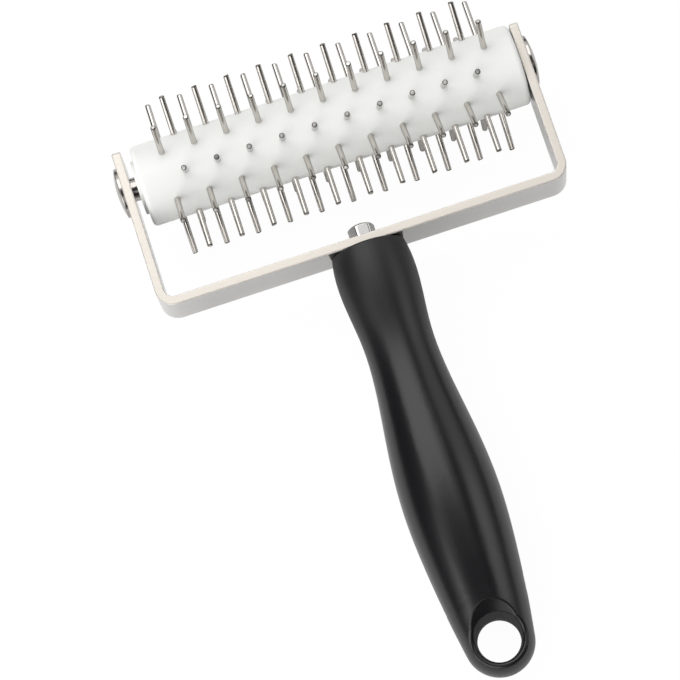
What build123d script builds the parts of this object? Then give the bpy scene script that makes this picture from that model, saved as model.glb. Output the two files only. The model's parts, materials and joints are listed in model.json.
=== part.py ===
from build123d import *
import os
from math import acos, atan2, cos, hypot, radians, sin, tan

# Dough docker: a pinned plastic roller turns on an axle between the arms of a bent steel strip,
# and a moulded handle is held to the middle of the strip by a stud and a domed nut.
# Lengths are in millimetres. The tool lies as it rests on a worktop: the two lowest rows of pins
# and the belly of the handle touch Z = 0, X runs along the axle, and the handle points along -Y.

# Roller and pins. Every second row has one pin more, and keeps the end room from both ends
roller_length = 130.0
roller_radius = 13.6
roller_edge_radius = 1.5
pin_rows = 10
pin_pitch = 11.0
pin_end_room = 9.0
pin_radius = 0.8
pin_reach = 13.5
pin_depth = 6.0
pin_tip_chamfer = 0.25

# Axle, bushes and the loose washer at the roller's left end
axle_radius = 4.0
axle_clearance = 0.08
roller_bore_clearance = 1.0
bush_wall = 2.0
bush_length = 9.0
flange_radius = 9.0
flange_thickness = 1.2
washer_radius = 9.0
washer_thickness = 1.1
left_end_gap = 1.9
right_end_gap = 0.4

# Screws that hold the arms to the ends of the axle
screw_radius = 2.5
screw_grip = 12.0
screw_hole_spare = 2.0
head_radius = 8.4
head_rim_thickness = 1.1
head_rim_rounding = 0.4
head_dome_height = 1.2
socket_across_flats = 4.0
socket_depth = 2.4

# Strip bent into a U
strip_width = 18.0
strip_thickness = 3.0
strip_edge_radius = 0.45
strip_corner_radius = 1.5
bend_radius = 3.0
arm_past_axle = 11.4
axle_to_crossbar = 41.0

# Handle: the shares of its length at which its outline swells and narrows, and the radii there
handle_length = 146.6
front_radius = 12.2
front_edge_radius = 0.8
swell_share = 0.067
swell_radius = 13.25
waist_share = 0.2115
waist_radius = 11.6
rise_share = 0.393
rise_radius = 13.55
belly_share = 0.6276
belly_radius = 16.0
tail_share = 0.8254
tail_radius = 13.55
cap_radius = 11.4
cap_start_angle = 9.0
front_flare_angle = 14.0

# Hanging hole through the handle, with a dished mouth on both sides
hole_radius = 6.95
hole_land = 4.0
hole_draft = 10.0
dish_depth_start = 9.0
dish_angle = 42.0
mouth_rounding = 1.0

# Stud of the handle and its domed nut
stud_radius = 2.5
stud_in_handle = 55.0
nut_across_flats = 8.0
nut_height = 6.1
nut_flank_height = 4.7
nut_thread_depth = 4.6
nut_turn = -9.0

# Fits, and the overrun of cuts
fixed_fit = 0.02
strip_hole_clearance = 0.15
overrun = 1.0

# Places that follow from the sizes above
row_step = 360.0 / pin_rows
pins_in_long_row = int((roller_length - 2 * pin_end_room) / pin_pitch) + 1
inner_width = left_end_gap + washer_thickness + roller_length + right_end_gap
outer_width = inner_width + 2 * strip_thickness
roller_left = left_end_gap + washer_thickness - inner_width / 2
roller_right = roller_left + roller_length
seat_radius = roller_radius - pin_depth
tip_radius = roller_radius + pin_reach
tip_flat_radius = pin_radius - pin_tip_chamfer
bush_bore = axle_radius + axle_clearance
bush_radius = bush_bore + bush_wall
strip_back = axle_to_crossbar + strip_thickness
hole_place = strip_back + handle_length - cap_radius

# Outline of the handle: X is the distance behind the axle, Y the radius there
cap_start = radians(cap_start_angle)
cap_middle = (cap_start + radians(90)) / 2
with BuildLine() as handle_outline:
    grip = Spline(
        (strip_back, front_radius),
        (strip_back + swell_share * handle_length, swell_radius),
        (strip_back + waist_share * handle_length, waist_radius),
        (strip_back + rise_share * handle_length, rise_radius),
        (strip_back + belly_share * handle_length, belly_radius),
        (strip_back + tail_share * handle_length, tail_radius),
        (hole_place + cap_radius * sin(cap_start), cap_radius * cos(cap_start)),
        tangents=[
            (cos(radians(front_flare_angle)), sin(radians(front_flare_angle))),
            (cos(cap_start), -sin(cap_start)),
        ],
    )
    ThreePointArc(
        grip @ 1,
        (hole_place + cap_radius * sin(cap_middle), cap_radius * cos(cap_middle)),
        (hole_place + cap_radius, 0),
    )

# The tool tilts about its two lowest rows of pins until the belly of the handle meets Z = 0
half_step = radians(row_step / 2)
axle_height = tip_radius * cos(half_step) + tip_flat_radius * sin(half_step)
outline_samples = 400
outline_points = [grip @ (i / outline_samples) for i in range(outline_samples + 1)]
tilt = min(atan2(p.X, p.Y) - acos(axle_height / hypot(p.X, p.Y)) for p in outline_points)

# The box round the whole tool is centred on X = 0 and Y = 0
row_angles = [radians(row_step * (row + 0.5)) for row in range(pin_rows)]
front_reach = max(tip_radius * sin(a) + tip_flat_radius * abs(cos(a)) for a in row_angles)
back_reach = hole_place * cos(tilt) + cap_radius
axle_middle = (0, (back_reach - front_reach) / 2, axle_height)

# The plane of the strip, with X along the axle and Y away from the handle, and three planes
# square to it: one across the axle, one across the handle, and one that holds both axes
flat = Plane(origin=axle_middle, x_dir=(1, 0, 0), z_dir=(0, -sin(tilt), cos(tilt)))
across_axle = Plane(origin=axle_middle, x_dir=flat.y_dir, z_dir=flat.x_dir)
across_handle = Plane(origin=axle_middle, x_dir=flat.x_dir, z_dir=-flat.y_dir)
upright = Plane(origin=axle_middle, x_dir=-flat.y_dir, z_dir=-flat.x_dir)
axle_axis = Axis(axle_middle, flat.x_dir)
handle_axis = Axis(axle_middle, -flat.y_dir)
up_axis = Axis(axle_middle, flat.z_dir)


def row_plane(row):
    """Plane at the middle of the roller whose normal points along the pins of one row."""
    middle = across_axle.offset((roller_left + roller_right) / 2).origin
    return Plane(origin=middle, x_dir=flat.x_dir, z_dir=(0, -sin(row_angles[row]), cos(row_angles[row])))


def pin_grid(row):
    """Places of the pins of one row. The long and the short rows alternate, half a pitch apart."""
    return GridLocations(pin_pitch, 0, pins_in_long_row if row % 2 else pins_in_long_row - 1, 1)


def end_plane(side, distance):
    """Plane across the axle on one side of the middle, whose normal points outwards."""
    middle = across_axle.offset(side * distance).origin
    return Plane(origin=middle, x_dir=flat.y_dir, z_dir=side * flat.x_dir)


def save(piece, name):
    """Label a piece and write it as a STEP file of that name."""
    piece.part.label = name
    export_step(piece.part, f"parts/{name}.step")


def make_pin_row(row):
    """One row of steel pins, each seated on the floor of its own hole in the roller."""
    with BuildPart() as pins:
        with BuildSketch(row_plane(row).offset(seat_radius)):
            with pin_grid(row):
                Circle(pin_radius)
        extrude(amount=pin_depth + pin_reach)
        tips = pins.faces().group_by(Axis(axle_middle, row_plane(row).z_dir))[-1]
        chamfer(tips.edges(), pin_tip_chamfer)
    return pins


def make_bush(side, roller_end):
    """Flanged bush let into one end of the roller, its flange flush with the roller's face."""
    with BuildPart() as bush:
        with BuildSketch(end_plane(side, roller_end)):
            Circle(flange_radius)
        extrude(amount=-flange_thickness)
        with BuildSketch(end_plane(side, roller_end)):
            Circle(bush_radius)
        extrude(amount=-bush_length)
        with BuildSketch(end_plane(side, roller_end + overrun)):
            Circle(bush_bore)
        extrude(amount=-bush_length - 2 * overrun, mode=Mode.SUBTRACT)
    return bush


def make_axle_screw(side):
    """Screw with a wide domed head outside one arm and its shank in the end of the axle."""
    head_foot = outer_width / 2
    rim = head_foot + head_rim_thickness
    crown = rim + head_dome_height
    dome_radius = (head_radius**2 + head_dome_height**2) / (2 * head_dome_height)
    shoulder = head_radius / 2
    shoulder_drop = dome_radius - (dome_radius**2 - shoulder**2) ** 0.5
    with BuildPart() as screw:
        with BuildSketch(Plane(origin=axle_middle, x_dir=side * flat.x_dir, z_dir=flat.z_dir)) as profile:
            with BuildLine():
                Polyline((crown, 0), (head_foot, 0), (head_foot, head_radius), (rim, head_radius))
                ThreePointArc((rim, head_radius), (crown - shoulder_drop, shoulder), (crown, 0))
            make_face()
            rim_corners = profile.vertices().group_by(Axis.Y)[-1]
            fillet(rim_corners.sort_by(Axis.X)[-1], head_rim_rounding)
        revolve(axis=axle_axis)
        with BuildSketch(end_plane(side, head_foot)):
            Circle(screw_radius)
        extrude(amount=-strip_thickness - screw_grip)
        with BuildSketch(end_plane(side, crown + overrun)):
            RegularPolygon(socket_across_flats / 2, side_count=6, major_radius=False)
        extrude(amount=-socket_depth - overrun, mode=Mode.SUBTRACT)
    return screw


os.makedirs("parts", exist_ok=True)

# Strip bent into a U, with holes for the two axle screws and the handle's stud
with BuildPart() as yoke:
    with BuildSketch(flat.offset(-strip_width / 2)):
        with BuildLine():
            inner_line = FilletPolyline(
                (-inner_width / 2, arm_past_axle),
                (-inner_width / 2, -axle_to_crossbar),
                (inner_width / 2, -axle_to_crossbar),
                (inner_width / 2, arm_past_axle),
                radius=bend_radius,
            )
            outer_line = FilletPolyline(
                (-outer_width / 2, arm_past_axle),
                (-outer_width / 2, -strip_back),
                (outer_width / 2, -strip_back),
                (outer_width / 2, arm_past_axle),
                radius=bend_radius + strip_thickness,
            )
            Line(inner_line @ 0, outer_line @ 0)
            Line(inner_line @ 1, outer_line @ 1)
        make_face()
    extrude(amount=strip_width)
    arm_tips = yoke.faces().sort_by(handle_axis)[:2]
    fillet(arm_tips.edges().filter_by(Axis.X), strip_corner_radius)
    broad_faces = yoke.faces().filter_by(up_axis)
    fillet(broad_faces.edges(), strip_edge_radius)
    with BuildSketch(end_plane(1, outer_width / 2 + overrun)):
        Circle(screw_radius + strip_hole_clearance)
    extrude(amount=-outer_width - 2 * overrun, mode=Mode.SUBTRACT)
    with BuildSketch(across_handle.offset(axle_to_crossbar - overrun)):
        Circle(stud_radius + strip_hole_clearance)
    extrude(amount=strip_thickness + 2 * overrun, mode=Mode.SUBTRACT)
save(yoke, "yoke")

# Moulded handle, round all the way, whose rounded end is centred on the hanging hole
draft_radius = hole_radius + (dish_depth_start - hole_land / 2) * tan(radians(hole_draft))
mouth_radius = draft_radius + (belly_radius + overrun - dish_depth_start) * tan(radians(dish_angle))
with BuildPart() as handle:
    with BuildSketch(upright):
        with BuildLine():
            add(handle_outline.line)
            Polyline(handle_outline.line @ 1, (strip_back, 0), (strip_back, front_radius))
        make_face()
    revolve(axis=handle_axis)
    front_rim = handle.edges().filter_by(GeomType.CIRCLE).sort_by(handle_axis)[0]
    fillet(front_rim, front_edge_radius)
    with BuildSketch(upright):
        Polygon(
            (hole_place, 0),
            (hole_place + hole_radius, 0),
            (hole_place + hole_radius, hole_land / 2),
            (hole_place + draft_radius, dish_depth_start),
            (hole_place + mouth_radius, belly_radius + overrun),
            (hole_place, belly_radius + overrun),
            align=None,
        )
        mirror(about=Plane.XZ)
    hole_middle = across_handle.offset(hole_place).origin
    revolve(axis=Axis(hole_middle, flat.z_dir), mode=Mode.SUBTRACT)
    hole_edges = handle.edges(Select.LAST).filter_by(GeomType.LINE, reverse=True)
    mouth_edges = hole_edges.filter_by(lambda edge: abs(flat.to_local_coords(edge.center()).Z) > hole_land)
    fillet(mouth_edges, mouth_rounding)
    with BuildSketch(across_handle.offset(strip_back - overrun)):
        Circle(stud_radius + fixed_fit)
    extrude(amount=stud_in_handle + overrun, mode=Mode.SUBTRACT)
save(handle, "handle")

# Stud from the floor of its hole in the handle, through the strip, to the floor of the nut
with BuildPart() as handle_stud:
    with BuildSketch(across_handle.offset(axle_to_crossbar - nut_thread_depth)):
        Circle(stud_radius)
    extrude(amount=nut_thread_depth + strip_thickness + stud_in_handle)
save(handle_stud, "handle_stud")

# Domed hexagon nut on the inner face of the strip
nut_corner_radius = nut_across_flats / 2 / cos(radians(30))
nut_dome_rise = nut_height - nut_flank_height
nut_dome_radius = (nut_corner_radius**2 + nut_dome_rise**2) / (2 * nut_dome_rise)
nut_shoulder = nut_corner_radius / 2
nut_shoulder_drop = nut_dome_radius - (nut_dome_radius**2 - nut_shoulder**2) ** 0.5
nut_top = axle_to_crossbar - nut_height
with BuildPart() as domed_nut:
    with BuildSketch(across_handle.offset(axle_to_crossbar)):
        RegularPolygon(nut_across_flats / 2, side_count=6, major_radius=False, rotation=nut_turn)
    extrude(amount=-nut_height)
    with BuildSketch(upright):
        with BuildLine():
            Polyline(
                (nut_top, 0),
                (axle_to_crossbar, 0),
                (axle_to_crossbar, nut_corner_radius),
                (nut_top + nut_dome_rise, nut_corner_radius),
            )
            ThreePointArc(
                (nut_top + nut_dome_rise, nut_corner_radius),
                (nut_top + nut_shoulder_drop, nut_shoulder),
                (nut_top, 0),
            )
        make_face()
    revolve(axis=handle_axis, mode=Mode.INTERSECT)
    with BuildSketch(across_handle.offset(axle_to_crossbar)):
        Circle(stud_radius + fixed_fit)
    extrude(amount=-nut_thread_depth, mode=Mode.SUBTRACT)
save(domed_nut, "domed_nut")

# Axle between the arms, tapped at both ends for the screws
with BuildPart() as axle:
    with BuildSketch(end_plane(1, inner_width / 2)):
        Circle(axle_radius)
    extrude(amount=-inner_width)
    for side in (-1, 1):
        with BuildSketch(end_plane(side, inner_width / 2)):
            Circle(screw_radius + fixed_fit)
        extrude(amount=-screw_grip - screw_hole_spare, mode=Mode.SUBTRACT)
save(axle, "axle")
save(make_axle_screw(-1), "axle_screw_left")
save(make_axle_screw(1), "axle_screw_right")

# Roller, bored for the axle, recessed at both ends for the bushes, and drilled for the pins
with BuildPart() as roller_body:
    with BuildSketch(end_plane(1, roller_right)):
        Circle(roller_radius)
    extrude(amount=-roller_length)
    fillet(roller_body.edges().filter_by(GeomType.CIRCLE), roller_edge_radius)
    with BuildSketch(end_plane(1, roller_right + overrun)):
        Circle(axle_radius + roller_bore_clearance)
    extrude(amount=-roller_length - 2 * overrun, mode=Mode.SUBTRACT)
    for side, roller_end in ((-1, -roller_left), (1, roller_right)):
        with BuildSketch(end_plane(side, roller_end + overrun)):
            Circle(bush_radius + fixed_fit)
        extrude(amount=-bush_length - overrun, mode=Mode.SUBTRACT)
        with BuildSketch(end_plane(side, roller_end + overrun)):
            Circle(flange_radius + fixed_fit)
        extrude(amount=-flange_thickness - overrun, mode=Mode.SUBTRACT)
    for row in range(pin_rows):
        with BuildSketch(row_plane(row).offset(seat_radius)):
            with pin_grid(row):
                Circle(pin_radius + fixed_fit)
        extrude(amount=pin_depth + overrun, mode=Mode.SUBTRACT)
save(roller_body, "roller_body")

for row in range(pin_rows):
    save(make_pin_row(row), f"pin_row_{row + 1:02d}")

save(make_bush(-1, -roller_left), "bush_left")
save(make_bush(1, roller_right), "bush_right")

# Loose washer between the roller's left end and the bare stretch of the axle
with BuildPart() as end_washer:
    with BuildSketch(end_plane(-1, -roller_left)):
        Circle(washer_radius)
        Circle(bush_bore, mode=Mode.SUBTRACT)
    extrude(amount=washer_thickness)
save(end_washer, "end_washer")
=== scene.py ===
"""Looks of a dough docker: a pinned roller in a bent steel strip on a moulded black handle."""

import json
import math
import random

import bmesh
import bpy
from mathutils import Matrix, Vector


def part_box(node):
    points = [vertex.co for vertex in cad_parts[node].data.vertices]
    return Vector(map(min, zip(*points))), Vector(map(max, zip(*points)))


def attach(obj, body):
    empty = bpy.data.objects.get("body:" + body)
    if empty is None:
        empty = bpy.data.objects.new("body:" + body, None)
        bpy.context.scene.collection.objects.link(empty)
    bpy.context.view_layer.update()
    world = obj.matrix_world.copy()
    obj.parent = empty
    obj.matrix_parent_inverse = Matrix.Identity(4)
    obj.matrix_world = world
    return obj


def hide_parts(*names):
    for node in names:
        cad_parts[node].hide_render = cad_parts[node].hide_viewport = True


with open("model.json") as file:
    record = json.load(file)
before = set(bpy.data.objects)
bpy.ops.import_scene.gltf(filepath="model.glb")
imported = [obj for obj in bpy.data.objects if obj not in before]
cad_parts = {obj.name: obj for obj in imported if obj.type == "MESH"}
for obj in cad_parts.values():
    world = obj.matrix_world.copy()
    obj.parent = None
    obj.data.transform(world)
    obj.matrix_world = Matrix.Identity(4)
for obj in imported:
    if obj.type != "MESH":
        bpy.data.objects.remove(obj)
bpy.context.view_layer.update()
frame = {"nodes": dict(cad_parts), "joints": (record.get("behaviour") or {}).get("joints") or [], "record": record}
nodes = frame["nodes"]
scene = bpy.context.scene

# Lengths are in metres, unless a comment says otherwise
millimetre = 0.001

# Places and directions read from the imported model
axle_middle = Vector(next(joint["pos_m"] for joint in frame["joints"] if joint["name"] == "roller_spin"))
hole = next(mount for mount in frame["record"]["mounts"] if mount["name"] == "hanging_hole")
hole_middle = Vector(hole["pos_m"])
strip_normal = Vector(hole["axis"])
forward = strip_normal.cross(Vector((1, 0, 0)))
pin_rows = sorted(name for name in nodes if name.startswith("pin_row_"))


def feed(tree, value, socket):
    """Give a socket its value: another node's output, or a constant."""
    if isinstance(value, bpy.types.NodeSocket):
        tree.links.new(value, socket)
    elif socket.type == "RGBA":
        socket.default_value = (*value, 1)
    else:
        socket.default_value = value


def add(tree, kind, inputs=None, **settings):
    """One node with its settings, and with inputs given as outputs of other nodes or as constants."""
    node = tree.nodes.new(kind)
    for key, value in settings.items():
        setattr(node, key, value)
    for socket, value in (inputs or {}).items():
        feed(tree, value, node.inputs[socket])
    return node


def maths(tree, operation, *operands):
    """Result of a Math node."""
    return add(tree, "ShaderNodeMath", dict(enumerate(operands)), operation=operation).outputs[0]


def vector_maths(tree, operation, *operands):
    """Result of a Vector Math node, which is a number for a dot product, distance or length."""
    node = add(tree, "ShaderNodeVectorMath", dict(enumerate(operands)), operation=operation)
    gives_number = operation in ("DOT_PRODUCT", "DISTANCE", "LENGTH")
    return node.outputs["Value" if gives_number else "Vector"]


# Sockets of a Mix node for each kind of value: the first value, the second and the result
mix_sockets = {"RGBA": (6, 7, 2), "FLOAT": (2, 3, 0)}


def blend(tree, kind, share, first, second):
    """Mix of two values of one kind, all the second where the share is 1."""
    first_socket, second_socket, result = mix_sockets[kind]
    mix = add(tree, "ShaderNodeMix", data_type=kind)
    feed(tree, share, mix.inputs[0])
    feed(tree, first, mix.inputs[first_socket])
    feed(tree, second, mix.inputs[second_socket])
    return mix.outputs[result]


def blend_colour(tree, share, first, second):
    """Mix of two colours, all the second where the share is 1."""
    return blend(tree, "RGBA", share, first, second)


def blend_number(tree, share, first, second):
    """Mix of two numbers, all the second where the share is 1."""
    return blend(tree, "FLOAT", share, first, second)


def map_range(tree, value, from_ends, to_ends, curve="LINEAR"):
    """The value carried over from one range to another and held at its ends."""
    ends = {"From Min": from_ends[0], "From Max": from_ends[1], "To Min": to_ends[0], "To Max": to_ends[1]}
    node = add(tree, "ShaderNodeMapRange", {"Value": value, **ends}, interpolation_type=curve)
    return node.outputs["Result"]


def ramp(tree, value, low, high):
    """Smooth rise from 0 at the first value to 1 at the second."""
    return map_range(tree, value, (low, high), (0, 1), "SMOOTHSTEP")


def facing(tree, direction):
    """How squarely the surface faces a direction: 1 if fully, 0 if it runs along it, -1 if it faces away."""
    normal = add(tree, "ShaderNodeTexCoord").outputs["Normal"]
    return vector_maths(tree, "DOT_PRODUCT", normal, direction)


def seen_aslant(tree, low, high):
    """Rises from 0 to 1 as the surface turns away from the line of sight."""
    weight = add(tree, "ShaderNodeLayerWeight", {"Blend": 0.5})
    return ramp(tree, weight.outputs["Facing"], low, high)


# Kinds of socket that a group may have
FLOAT = "NodeSocketFloat"
VECTOR = "NodeSocketVector"


def shader_group(name, inputs, output):
    """Empty group of shader nodes with inputs given as name: (kind, value), and one number put out."""
    group = bpy.data.node_groups.new(name, "ShaderNodeTree")
    for label, (kind, value) in inputs.items():
        socket = group.interface.new_socket(label, in_out="INPUT", socket_type=kind)
        socket.default_value = value
    group.interface.new_socket(output, in_out="OUTPUT", socket_type=FLOAT)
    return group, group.nodes.new("NodeGroupInput").outputs, group.nodes.new("NodeGroupOutput").inputs


def make_mottle():
    """Slow uneven tone: a mask from 0 to 1 that wanders over some millimetres."""
    group, given, result = shader_group(
        "mottle",
        {"Place": (VECTOR, (0, 0, 0)), "Patches per metre": (FLOAT, 60.0)},
        "Mask",
    )
    noise = add(
        group,
        "ShaderNodeTexNoise",
        {"Vector": given["Place"], "Scale": given["Patches per metre"], "Detail": 3.0, "Roughness": 0.5},
    )
    feed(group, noise.outputs["Fac"], result["Mask"])
    return group


def make_fine_lines():
    """Rolled or turned lines: a height that changes fast across the lines and slowly along them."""
    group, given, result = shader_group(
        "fine_lines",
        {"Place": (VECTOR, (0, 0, 0)), "Stretch": (VECTOR, (1, 1, 1)), "Lines per metre": (FLOAT, 4000.0)},
        "Height",
    )
    stretched = vector_maths(group, "MULTIPLY", given["Place"], given["Stretch"])
    noise = add(
        group,
        "ShaderNodeTexNoise",
        {"Vector": stretched, "Scale": given["Lines per metre"], "Detail": 4.0, "Roughness": 0.65},
    )
    feed(group, noise.outputs["Fac"], result["Height"])
    return group


def make_pebble():
    """Fine moulded texture: the tiny round pits that a spark-eroded mould leaves in plastic."""
    group, given, result = shader_group(
        "pebble",
        {"Place": (VECTOR, (0, 0, 0)), "Pits per metre": (FLOAT, 2500.0)},
        "Height",
    )
    cells = add(
        group,
        "ShaderNodeTexVoronoi",
        {"Vector": given["Place"], "Scale": given["Pits per metre"], "Randomness": 1.0},
        feature="SMOOTH_F1",
    )
    feed(group, cells.outputs["Distance"], result["Height"])
    return group


mottle = make_mottle()
fine_lines = make_fine_lines()
pebble = make_pebble()


def use(tree, group, place, **values):
    """A shared effect placed in a material, fed with the place on the piece."""
    node = add(tree, "ShaderNodeGroup", node_tree=group)
    feed(tree, place, node.inputs["Place"])
    for label, value in values.items():
        feed(tree, value, node.inputs[label.replace("_", " ")])
    return node.outputs[0]


def new_finish(name, metallic):
    """A material, its nodes, its shader, and the socket that gives the place on the piece."""
    material = bpy.data.materials.new(name)
    material.use_nodes = True
    tree = material.node_tree
    shader = tree.nodes["Principled BSDF"]
    shader.inputs["Metallic"].default_value = metallic
    place = add(tree, "ShaderNodeTexCoord").outputs["Object"]
    return material, tree, shader, place


def cover(tree, shader, colour, roughness):
    """Give the shader the surface's colour and roughness."""
    feed(tree, colour, shader.inputs["Base Color"])
    feed(tree, roughness, shader.inputs["Roughness"])


def raise_surface(tree, shader, height, depth, strength):
    """Give the shader fine relief, as deep as the depth where the height is 1."""
    bump = add(tree, "ShaderNodeBump", {"Height": height, "Distance": depth, "Strength": strength})
    feed(tree, bump.outputs["Normal"], shader.inputs["Normal"])


def dimmed(colour, share):
    """A colour with a share of its light."""
    return tuple(share * part for part in colour)


def make_roller_plastic():
    """Turned white plastic: satin, with faint lathe marks round the roller."""
    material, tree, shader, place = new_finish("satin_white_plastic", metallic=0.0)
    patches = use(tree, mottle, place, Patches_per_metre=45.0)
    white = blend_colour(tree, patches, (0.86, 0.87, 0.843), (0.885, 0.892, 0.865))
    satin = blend_number(tree, patches, 0.36, 0.48)
    cover(tree, shader, white, satin)
    lathe_marks = use(tree, fine_lines, place, Stretch=(1.0, 0.02, 0.02), Lines_per_metre=5000.0)
    raise_surface(tree, shader, lathe_marks, depth=0.01 * millimetre, strength=0.4)
    return material


def make_pin_steel():
    """Drawn stainless wire with a slightly uneven shine, paler cropped ends, and painted shade: darker to the
    sides where it is seen aslant, and in a dark ring round each tip.
    """
    material, tree, shader, place = new_finish("polished_pin_steel", metallic=1.0)
    from_middle = vector_maths(tree, "SUBTRACT", place, axle_middle)
    from_axle = vector_maths(tree, "MULTIPLY", from_middle, (0, 1, 1))
    cropped = ramp(tree, facing(tree, vector_maths(tree, "NORMALIZE", from_axle)), 0.8, 0.95)
    # Painted shade: darker where the wire is seen aslant, and on the dark ring round each tip that the vertex
    # layer marks
    aslant_shade = maths(tree, "MULTIPLY", seen_aslant(tree, 0.4, 0.88), 0.85)
    rim = add(tree, "ShaderNodeAttribute", attribute_name=rim_layer).outputs["Fac"]
    patches = use(tree, mottle, place, Patches_per_metre=300.0)
    wire_colour = blend_colour(tree, patches, (0.58, 0.553, 0.52), (0.65, 0.623, 0.59))
    cropped_colour = blend_colour(tree, patches, (0.86, 0.85, 0.83), (0.95, 0.94, 0.92))
    painted_shade_colour = blend_colour(tree, patches, (0.15, 0.137, 0.12), (0.2, 0.185, 0.165))
    front_colour = blend_colour(tree, cropped, wire_colour, cropped_colour)
    colour = blend_colour(tree, maths(tree, "MAXIMUM", aslant_shade, rim), front_colour, painted_shade_colour)
    wire_roughness = blend_number(tree, patches, 0.1, 0.17)
    cropped_roughness = blend_number(tree, patches, 0.36, 0.48)
    cover(tree, shader, colour, blend_number(tree, cropped, wire_roughness, cropped_roughness))
    return material


def make_strip_steel():
    """Rolled stainless strip with lines along it: bright broad faces, duller sheared edges, and rounded edges
    painted paler as a highlight.
    """
    material, tree, shader, place = new_finish("rolled_strip_steel", metallic=1.0)
    squareness = maths(tree, "ABSOLUTE", facing(tree, strip_normal))
    sheared = ramp(tree, squareness, 0.1, 0.6)
    # Painted highlight: the rounded edges between the faces are given a paler colour and more roughness
    rounding_highlight = maths(tree, "MULTIPLY", ramp(tree, squareness, 0.04, 0.2), ramp(tree, squareness, 0.995, 0.93))
    patches = use(tree, mottle, place, Patches_per_metre=90.0)
    streaks = use(tree, fine_lines, place, Stretch=(0.04, 1.0, 1.0), Lines_per_metre=900.0)
    face_colour = blend_colour(tree, patches, (0.61, 0.6, 0.585), (0.655, 0.645, 0.63))
    edge_colour = blend_colour(tree, streaks, (0.68, 0.637, 0.578), (0.755, 0.71, 0.652))
    painted_highlight_colour = blend_colour(tree, streaks, (0.82, 0.79, 0.745), (0.9, 0.87, 0.83))
    flat_colour = blend_colour(tree, sheared, face_colour, edge_colour)
    face_roughness = blend_number(tree, patches, 0.1, 0.17)
    edge_roughness = blend_number(tree, streaks, 0.42, 0.56)
    corner_roughness = blend_number(tree, streaks, 0.6, 0.75)
    flat_roughness = blend_number(tree, sheared, face_roughness, edge_roughness)
    cover(
        tree,
        shader,
        blend_colour(tree, rounding_highlight, flat_colour, painted_highlight_colour),
        blend_number(tree, rounding_highlight, flat_roughness, corner_roughness),
    )
    raise_surface(tree, shader, streaks, depth=0.01 * millimetre, strength=0.25)
    return material


def make_handle_plastic():
    """Black moulding with fine pits, rubbed smooth by the palm, but not at its front or in its hole."""
    material, tree, shader, place = new_finish("moulded_black_plastic", metallic=0.0)
    along = add(tree, "ShaderNodeSeparateXYZ", {"Vector": place}).outputs["Y"]
    front = ramp(tree, along, -0.02, 0.035)
    round_hole = ramp(tree, vector_maths(tree, "DISTANCE", place, hole_middle), 0.022, 0.014)
    unrubbed = maths(tree, "MAXIMUM", front, maths(tree, "MULTIPLY", round_hole, 0.15))
    to_middle = vector_maths(tree, "SUBTRACT", hole_middle, place)
    level_to_middle = vector_maths(tree, "MULTIPLY", to_middle, (1, 1, 0))
    inward = ramp(tree, facing(tree, vector_maths(tree, "NORMALIZE", level_to_middle)), 0.7, 0.95)
    hole_wall = maths(tree, "MULTIPLY", inward, round_hole)
    patches = use(tree, mottle, place, Patches_per_metre=35.0)
    black = blend_colour(tree, patches, (0.006, 0.0058, 0.007), (0.0078, 0.0076, 0.0088))
    rubbed_roughness = blend_number(tree, patches, 0.23, 0.3)
    unrubbed_roughness = blend_number(tree, patches, 0.42, 0.5)
    wall_roughness = blend_number(tree, patches, 0.48, 0.56)
    outer_roughness = blend_number(tree, unrubbed, rubbed_roughness, unrubbed_roughness)
    cover(tree, shader, black, blend_number(tree, hole_wall, outer_roughness, wall_roughness))
    pits = use(tree, pebble, place, Pits_per_metre=3000.0)
    raise_surface(tree, shader, pits, depth=0.02 * millimetre, strength=0.3)
    return material


def make_plain_metal(name, colour, roughness, side_share=1.0):
    """Turned or pressed metal, of which the faces seen aslant show only a share of the colour, as painted shade.
    """
    material, tree, shader, place = new_finish(name, metallic=1.0)
    patches = use(tree, mottle, place, Patches_per_metre=250.0)
    # Painted shade: the faces seen aslant are darkened to a share of the colour
    side = dimmed(colour, side_share)
    patch_share = 0.93
    front_colour = blend_colour(tree, patches, dimmed(colour, patch_share), colour)
    shaded_side_colour = blend_colour(tree, patches, dimmed(side, patch_share), side)
    shown_colour = blend_colour(tree, seen_aslant(tree, 0.12, 0.5), front_colour, shaded_side_colour)
    cover(tree, shader, shown_colour, blend_number(tree, patches, *roughness))
    return material


def make_nylon():
    """Dull white plastic of the bushes and the loose washer."""
    material, tree, shader, place = new_finish("white_nylon", metallic=0.0)
    patches = use(tree, mottle, place, Patches_per_metre=120.0)
    white = blend_colour(tree, patches, (0.82, 0.82, 0.8), (0.88, 0.88, 0.86))
    cover(tree, shader, white, blend_number(tree, patches, 0.45, 0.55))
    return material


def dress(names, material):
    """The material on every slot of each named node."""
    for name in names:
        mesh = nodes[name].data
        if not mesh.materials:
            mesh.materials.append(material)
        for index in range(len(mesh.materials)):
            mesh.materials[index] = material


# Float layer on the pins' vertices: how much of the painted shade, a dark ring round each tip, each one carries
rim_layer = "cropped_rim"

pin_steel = make_pin_steel()
nut_steel = make_plain_metal("bright_nut_steel", (0.9, 0.885, 0.865), (0.12, 0.22), side_share=0.5)
screw_steel = make_plain_metal("bright_screw_steel", (0.55, 0.52, 0.49), (0.16, 0.26), side_share=0.7)
dress(["roller_body"], make_roller_plastic())
dress(["yoke"], make_strip_steel())
dress(["handle"], make_handle_plastic())
dress(["axle_screw_left", "axle_screw_right"], screw_steel)
dress(["axle"], make_plain_metal("turned_axle_steel", (0.48, 0.455, 0.43), (0.12, 0.24)))
dress(["handle_stud"], make_plain_metal("plain_stud_steel", (0.55, 0.55, 0.55), (0.3, 0.4)))
dress(["bush_left", "bush_right", "end_washer"], make_nylon())


merge_distance = 0.0001 * millimetre


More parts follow.
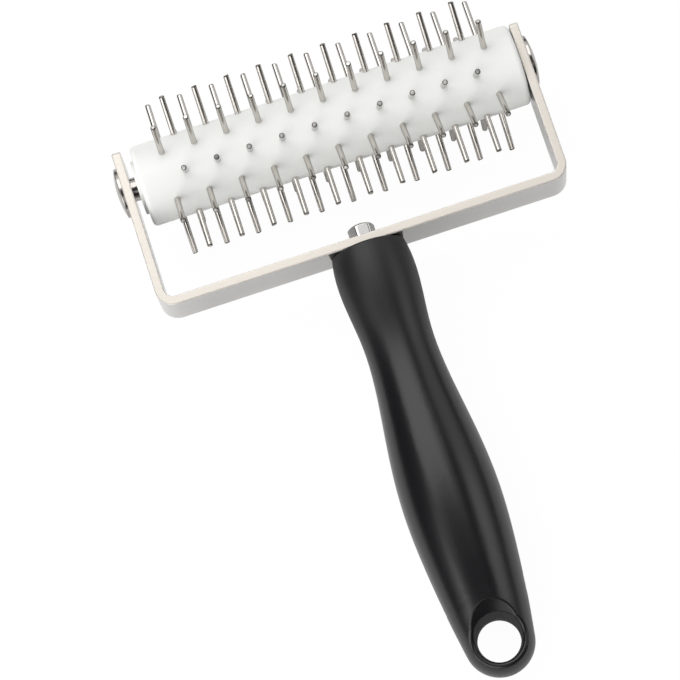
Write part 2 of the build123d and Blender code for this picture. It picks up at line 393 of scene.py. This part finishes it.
def spin_line(form, line, sides):
    """Turn a line of points round Z into a skin, and merge its doubles."""
    edges = [form.edges.new(pair) for pair in zip(line, line[1:])]
    bmesh.ops.spin(
        form, geom=line + edges, cent=(0, 0, 0), axis=(0, 0, 1), angle=math.tau, steps=sides, use_merge=True
    )
    bmesh.ops.remove_doubles(form, verts=form.verts, dist=merge_distance)


# Pin from its seat in the roller to its tip: distance from the axle and radius in millimetres, and how much
# of the painted shade, a dark ring round the tip, it carries
pin_profile = [
    (7.6, 0.0, 0.0),
    (7.6, 0.8, 0.0),
    (13.4, 0.8, 0.0),
    (13.4, 1.0, 0.0),
    (26.45, 0.92, 0.0),
    (26.62, 0.91, 1.0),
    (26.77, 0.88, 1.0),
    (26.87, 0.81, 1.0),
    (26.91, 0.68, 1.0),
    (26.93, 0.45, 0.0),
    (26.935, 0.0, 0.0),
]
pin_sides = 24

# Pitch of the pins in a row, distance from the axle at which a cropped tip starts, the tip's steepest slope
# and the least share of it, and the angle in degrees from which an edge of the pin is sharp
pin_pitch = 11 * millimetre
tip_start = 26.7 * millimetre
steepest_slope = 0.2
least_share = 0.15
sharp_turn = 40.0


def make_pin_blank():
    """One pin along Z, turned from its profile."""
    form = bmesh.new()
    rim = form.verts.layers.float.new(rim_layer)
    line = []
    for distance, radius, rim_shade in pin_profile:
        line.append(form.verts.new((radius * millimetre, 0, distance * millimetre)))
        line[-1][rim] = rim_shade
    spin_line(form, line, pin_sides)
    bmesh.ops.recalc_face_normals(form, faces=form.faces)
    for face in form.faces:
        face.smooth = True
    for edge in form.edges:
        edge.smooth = edge.calc_face_angle() < math.radians(sharp_turn)
    return form


def crop_askew(pin, chance):
    """Slope the tip of a pin in a random direction."""
    askew = chance.uniform(0, math.tau)
    slope = steepest_slope * chance.uniform(least_share, 1.0)
    for corner in pin.verts:
        if corner.co.z > tip_start:
            corner.co.z += slope * (corner.co.x * math.cos(askew) + corner.co.y * math.sin(askew))


def make_pins(row_name, material):
    """The pins of one row, stouter than the rods they stand for, each with a tip cropped a little askew."""
    low, high = (Vector(corner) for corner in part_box(row_name))
    count = round((high.x - low.x) / pin_pitch) + 1
    middle = (low + high) / 2
    outward = Vector((0, middle.y - axle_middle.y, middle.z - axle_middle.z)).normalized()
    upright = outward.to_track_quat("Z", "X").to_matrix().to_4x4()
    chance = random.Random(row_name)
    blank = make_pin_blank()
    row = bmesh.new()
    one = bpy.data.meshes.new("one_pin")
    for index in range(count):
        pin = blank.copy()
        crop_askew(pin, chance)
        foot = (middle.x + (index - (count - 1) / 2) * pin_pitch, axle_middle.y, axle_middle.z)
        bmesh.ops.transform(pin, matrix=Matrix.Translation(foot) @ upright, verts=pin.verts)
        pin.to_mesh(one)
        pin.free()
        row.from_mesh(one)
    blank.free()
    bpy.data.meshes.remove(one)
    mesh = bpy.data.meshes.new(row_name + "_tapered")
    row.to_mesh(mesh)
    row.free()
    mesh.materials.append(material)
    piece = bpy.data.objects.new(row_name + "_tapered", mesh)
    scene.collection.objects.link(piece)
    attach(piece, "roller")
    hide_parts(row_name)


for row_name in pin_rows:
    make_pins(row_name, pin_steel)


# Domed nut, in millimetres and degrees. The sector is the angle from one flat to the next. The solid height
# is that of the CAD node, whose foot the nut shares.
nut_flat_radius = 4.0
nut_corner_rounding = 0.6
nut_height = 6.15
nut_flank_height = 4.6
nut_foot_bevel = 0.25
nut_crown_softness = 0.1
nut_turn = 39.0
nut_sector = 60.0
solid_nut_height = 6.1

# Number of corners round the nut, of steps up its flank and of rings on its dome
nut_sides = 96
nut_levels = 14
nut_rings = 10


def nut_outline_radius(angle):
    """Distance from the nut's axis to its six rounded sides, in a direction given as an angle."""
    half_sector = math.radians(nut_sector) / 2
    off_flat = (angle + half_sector) % (2 * half_sector) - half_sector
    off_corner = half_sector - abs(off_flat)
    rounding_middle = (nut_flat_radius - nut_corner_rounding) / math.cos(half_sector)
    sideways = rounding_middle * math.sin(off_corner)
    if sideways > nut_corner_rounding * math.sin(half_sector):
        return nut_flat_radius / math.cos(off_flat)
    return rounding_middle * math.cos(off_corner) + math.sqrt(nut_corner_rounding**2 - sideways**2)


def crown_radius(height):
    """Distance from the nut's axis to its dome, at a height above the strip."""
    rise = nut_height - nut_flank_height
    corner = nut_flat_radius / math.cos(math.radians(nut_sector) / 2)
    sphere = (corner**2 + rise**2) / (2 * rise)
    below_top = nut_height - height
    return math.sqrt(max(2 * sphere * below_top - below_top**2, 0.0))


def soft_least(first, second):
    """The lesser of two lengths, eased where they meet."""
    near = max(nut_crown_softness - abs(first - second), 0.0) / nut_crown_softness
    return min(first, second) - near * near * nut_crown_softness / 4


def nut_radius(angle, height):
    """Distance from the nut's axis to its skin, bevelled at the foot."""
    inset = max(nut_foot_bevel - height, 0.0)
    return soft_least(nut_outline_radius(angle), crown_radius(height)) - inset**2 / nut_foot_bevel


def nut_heights():
    """Heights of the nut's levels, from its foot to the last ring below the middle of its dome."""
    flank = nut_flank_height - nut_foot_bevel
    dome = nut_height - nut_flank_height
    bevel_heights = [0.0, nut_foot_bevel / 2, nut_foot_bevel]
    flank_heights = [nut_foot_bevel + flank * level / nut_levels for level in range(1, nut_levels)]
    dome_heights = [
        nut_flank_height + dome * math.sin(math.radians(90) * ring / nut_rings) for ring in range(nut_rings)
    ]
    return bevel_heights + flank_heights + dome_heights


def make_nut(material):
    """The domed nut with the softened corners of a pressed and barrelled one."""
    form = bmesh.new()
    line = [form.verts.new((millimetre, 0, height * millimetre)) for height in nut_heights()]
    line.append(form.verts.new((0, 0, nut_height * millimetre)))
    spin_line(form, line, nut_sides)
    bmesh.ops.holes_fill(form, edges=[edge for edge in form.edges if edge.is_boundary])
    for corner in form.verts:
        corner.co.xy *= nut_radius(math.atan2(corner.co.y, corner.co.x), corner.co.z / millimetre)
    bmesh.ops.recalc_face_normals(form, faces=form.faces)
    for face in form.faces:
        face.smooth = True
    low, high = (Vector(corner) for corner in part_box("domed_nut"))
    foot = (low + high) / 2 - forward * (solid_nut_height * millimetre / 2)
    axes = Matrix((Vector((1, 0, 0)), forward.cross(Vector((1, 0, 0))), forward)).transposed().to_4x4()
    turn = Matrix.Rotation(math.radians(nut_turn), 4, "Z")
    bmesh.ops.transform(form, matrix=Matrix.Translation(foot) @ axes @ turn, verts=form.verts)
    mesh = bpy.data.meshes.new("barrelled_nut")
    form.to_mesh(mesh)
    form.free()
    mesh.materials.append(material)
    nut = bpy.data.objects.new("barrelled_nut", mesh)
    scene.collection.objects.link(nut)
    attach(nut, "frame")
    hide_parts("domed_nut")


make_nut(nut_steel)


# Camera: its place, and its turn about X, Y and Z and its angle of view in degrees
camera_place = (-0.0332, -0.3403, 1.0821)
camera_turn = (17.7235, 4.9137, -17.5115)
camera_angle = 11.212
camera = bpy.data.objects.new("camera", bpy.data.cameras.new("camera"))
camera.location = camera_place
camera.rotation_euler = [math.radians(angle) for angle in camera_turn]
camera.data.angle = math.radians(camera_angle)
scene.collection.objects.link(camera)
scene.camera = camera


def make_floor(half_width, albedo, lens_share, mirror_share, lit_middle, lit_reach):
    """Pale floor with a faint shadow, white to the lens by one share and to polished metal by another.

    Polished metal sees it in its pale colour only within a reach of the middle, and painted dark beyond, a painted
    shade that only reflections show.
    """
    fade_end = 1.3
    unlit_albedo = 0.02
    glow_strength = 1.015
    form = bmesh.new()
    bmesh.ops.create_grid(form, x_segments=1, y_segments=1, size=half_width)
    mesh = bpy.data.meshes.new("floor")
    form.to_mesh(mesh)
    form.free()
    floor = bpy.data.objects.new("floor", mesh)
    scene.collection.objects.link(floor)
    material = bpy.data.materials.new("pale_floor")
    material.use_nodes = True
    mesh.materials.append(material)
    tree = material.node_tree
    shader = tree.nodes["Principled BSDF"]
    place = add(tree, "ShaderNodeTexCoord").outputs["Object"]
    from_middle = vector_maths(tree, "SUBTRACT", place, lit_middle)
    share_of_reach = vector_maths(tree, "LENGTH", vector_maths(tree, "DIVIDE", from_middle, lit_reach))
    path = add(tree, "ShaderNodeLightPath").outputs
    # Painted shade: beyond the reach, polished metal sees the floor dark
    beyond = map_range(tree, share_of_reach, (1, fade_end), (0, 1))
    unlit = maths(tree, "MULTIPLY", beyond, path["Is Glossy Ray"])
    floor_colour = blend_colour(tree, unlit, dimmed((1, 1, 1), albedo), dimmed((1, 1, 1), unlit_albedo))
    feed(tree, floor_colour, shader.inputs["Base Color"])
    shader.inputs["Roughness"].default_value = 0.9
    shader.inputs["Specular IOR Level"].default_value = 0.1
    mirrored = maths(tree, "MAXIMUM", path["Is Glossy Ray"], path["Is Transmission Ray"])
    white_share = maths(
        tree,
        "MAXIMUM",
        maths(tree, "MULTIPLY", path["Is Camera Ray"], lens_share),
        maths(tree, "MULTIPLY", mirrored, mirror_share),
    )
    glow_share = maths(tree, "MULTIPLY", white_share, maths(tree, "SUBTRACT", 1.0, unlit))
    glow = add(tree, "ShaderNodeEmission", {"Color": (1, 1, 1), "Strength": glow_strength})
    mix = add(tree, "ShaderNodeMixShader", {0: glow_share, 1: shader.outputs[0], 2: glow.outputs[0]})
    feed(tree, mix.outputs[0], tree.nodes["Material Output"].inputs["Surface"])


make_floor(
    half_width=3.0,
    albedo=0.85,
    lens_share=0.95,
    mirror_share=0.12,
    lit_middle=(0.06, 0.05, 0),
    lit_reach=(0.19, 0.2, 1),
)


def make_softbox(name, place, target, width, depth, power):
    """Rectangular soft lamp at a place, aimed at a target."""
    light = bpy.data.lights.new(name, "AREA")
    light.shape = "RECTANGLE"
    light.size = width
    light.size_y = depth
    light.energy = power
    lamp = bpy.data.objects.new(name, light)
    lamp.location = place
    lamp.rotation_euler = (Vector(target) - Vector(place)).to_track_quat("-Z", "Y").to_euler()
    scene.collection.objects.link(lamp)


above_place = (-0.37, 0.57, 1.0)
front_left_place = (-0.82, -0.8, 0.44)
make_softbox("softbox_above", above_place, target=(-0.37, 0, 0), width=1.2, depth=0.95, power=7.0)
make_softbox("softbox_front_left", front_left_place, target=(0, 0, 0), width=1.45, depth=1.2, power=10.0)


# Patches of the tent that polished pieces see darker, or brighter where the last number is below 0. Each has
# the direction of its middle, the share by which each axis counts, the angles in degrees from the middle at
# which it starts to fade and ends, and the share of the light that it takes.
tent_patches = {
    "gap_overhead": ((-0.06, -0.3, 0.95), (0.4, 1.0, 1.0), 15.0, 23.0, 0.95),
    "slit_on_the_right": ((0.6, 0.12, 1.0), (1.0, 0.4, 1.0), 7.5, 12.0, 0.97),
    "gap_behind_on_the_left": ((-0.86, 0.42, 0.22), (1.0, 1.0, 1.0), 26.0, 34.0, 0.95),
    "behind_softbox_above": (above_place, (1.0, 1.0, 1.0), 20.0, 34.0, 0.7),
    "behind_softbox_front_left": (front_left_place, (1.0, 1.0, 1.0), 20.0, 34.0, 0.7),
    "gap_in_front": ((0.0, -1.0, 0.0), (0.5, 1.0, 1.0), 18.0, 30.0, 0.97),
    "gap_in_front_on_the_right": ((0.45, -0.85, 0.28), (1.0, 1.0, 1.0), 30.0, 48.0, 0.95),
    "bright_panel_on_the_right": ((0.8, -0.02, 0.6), (1.0, 1.0, 1.0), 8.0, 20.0, -0.8),
}

# Polished pieces see the tent rise from a dim skirt to its full level between two heights of a unit
# direction. Everything else is lit at one even level, and the lens sees plain white.
skirt_heights = (0.08, 0.32)
skirt_levels = (0.14, 0.95)
even_level = 0.56


def shade(tree, direction, level, middle, axis_shares, inner, outer, depth):
    """The level of light with one patch of the tent darkened or brightened."""
    unit = vector_maths(tree, "NORMALIZE", vector_maths(tree, "MULTIPLY", direction, axis_shares))
    aim = Vector([part * share for part, share in zip(middle, axis_shares)]).normalized()
    nearness = vector_maths(tree, "DOT_PRODUCT", unit, aim)
    ends = (math.cos(math.radians(outer)), math.cos(math.radians(inner)))
    return maths(tree, "MULTIPLY", level, map_range(tree, nearness, ends, (1, 1 - depth), "SMOOTHSTEP"))


def make_world():
    """White tent: even soft light, in which polished pieces see bright cloth with darker gaps in it."""
    world = bpy.data.worlds.new("studio")
    world.use_nodes = True
    scene.world = world
    tree = world.node_tree
    direction = add(tree, "ShaderNodeTexCoord").outputs["Generated"]
    height = add(tree, "ShaderNodeSeparateXYZ", {"Vector": direction}).outputs["Z"]
    level = map_range(tree, height, skirt_heights, skirt_levels, "SMOOTHSTEP")
    for patch in tent_patches.values():
        level = shade(tree, direction, level, *patch)
    path = add(tree, "ShaderNodeLightPath").outputs
    seen_level = blend_number(tree, path["Is Glossy Ray"], even_level, level)
    background = tree.nodes["Background"]
    background.inputs["Color"].default_value = (1, 1, 1, 1)
    feed(tree, blend_number(tree, path["Is Camera Ray"], seen_level, 1.0), background.inputs["Strength"])


make_world()
scene.view_settings.view_transform = "Standard"
